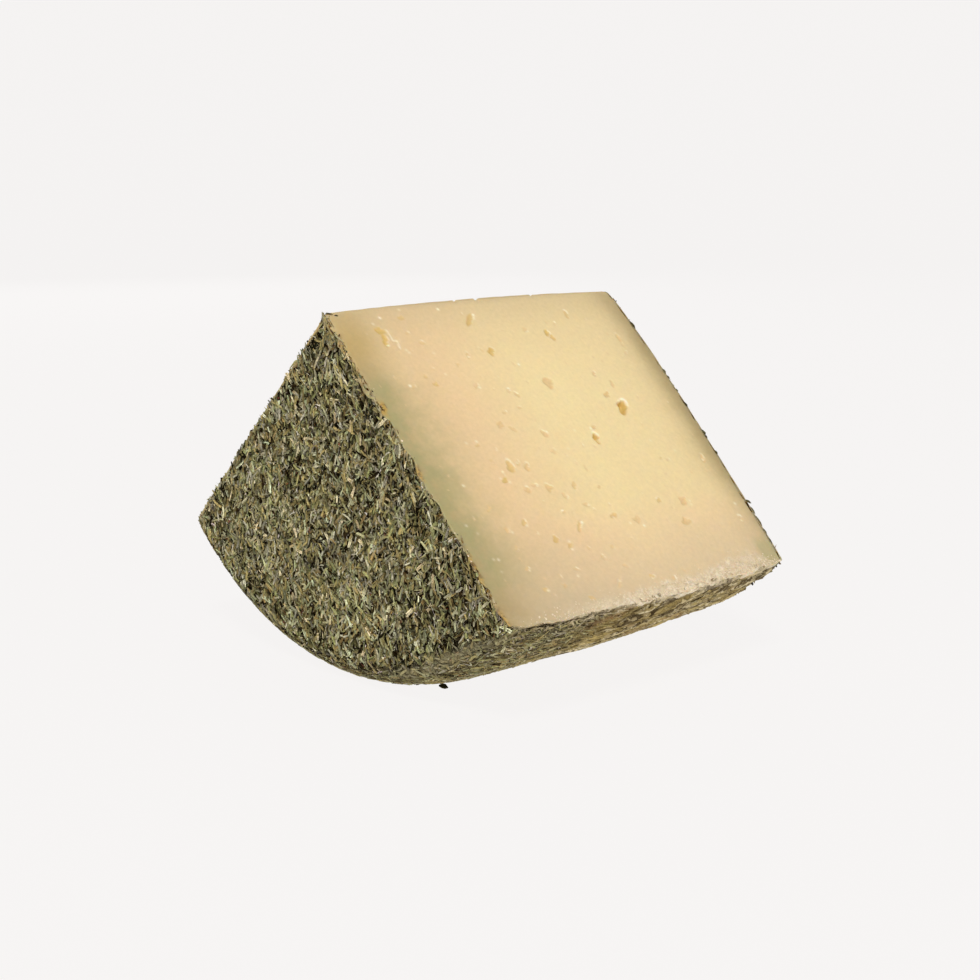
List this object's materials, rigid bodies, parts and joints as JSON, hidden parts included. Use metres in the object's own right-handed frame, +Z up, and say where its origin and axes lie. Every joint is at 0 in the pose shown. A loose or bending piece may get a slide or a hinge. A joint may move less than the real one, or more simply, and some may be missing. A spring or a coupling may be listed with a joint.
{
  "type": "herb-coated sheep cheese quarter",
  "caption": "Quarter wheel of semi-firm sheep cheese with a coat of chopped dried herbs and small eyes in its cut faces, resting on its curved rim.",
  "frame": {"origin": "centre of the bounding box's footprint, on the flat strip of the rim that the quarter rests on", "axes": "+X along the wheel's axis, from the side that shows in the picture to the hidden side; +Y from the cut that shows to the hidden cut; +Z up, to the sharp edge where the two cuts meet"},
  "size_m": [0.103, 0.1342, 0.0942],
  "materials": {
    "cheese": "matt, slightly moist paste under a rough dry herb coat"
  },
  "bodies": {
    "root": {"cheese": "cheese"}
  },
  "joints": []
}
